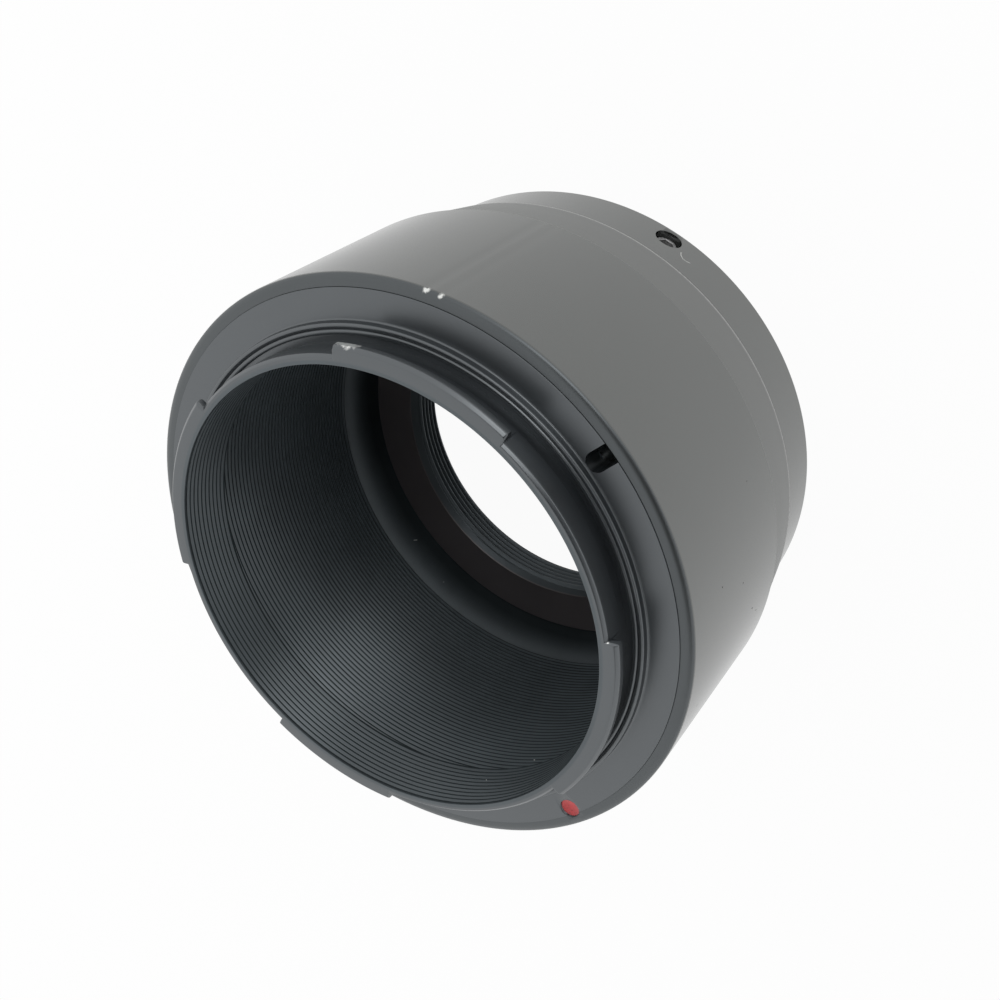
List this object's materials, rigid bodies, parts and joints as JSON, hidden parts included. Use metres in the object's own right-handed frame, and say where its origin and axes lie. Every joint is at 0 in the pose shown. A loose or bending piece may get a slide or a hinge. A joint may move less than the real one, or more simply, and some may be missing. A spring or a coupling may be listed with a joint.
{
  "type": "t-mount adapter",
  "caption": "Short black tube that joins a lens or telescope with a fine external thread to a mirrorless camera: bayonet lugs round a ribbed throat on one end, an internally threaded ring on the other",
  "frame": {"origin": "Centre of the rear face that a lens seats against, on the optical axis", "axes": "+Z along the optical axis towards the camera (bayonet) end, +Y towards the red index dot, +X to the right seen from the camera end with the dot on top"},
  "size_m": [0.066, 0.066, 0.0439],
  "materials": {
    "anodised_barrel": "matte black anodised",
    "anodised_mount": "satin black anodised",
    "anodised_ring": "matte black anodised",
    "blackened_steel": "blackened steel",
    "red_enamel": "red enamel"
  },
  "bodies": {
    "barrel": {"barrel": "anodised_barrel", "bayonet_mount": "anodised_mount", "grub_screws": "blackened_steel", "index_dot": "red_enamel"},
    "t2_ring": {"t2_ring": "anodised_ring"}
  },
  "joints": [
    {"name": "ring_turn", "type": "hinge", "parent": "barrel", "child": "t2_ring", "pos_m": [0, 0, 0.002], "axis": [0, 0, 1], "continuous": true}
  ]
}
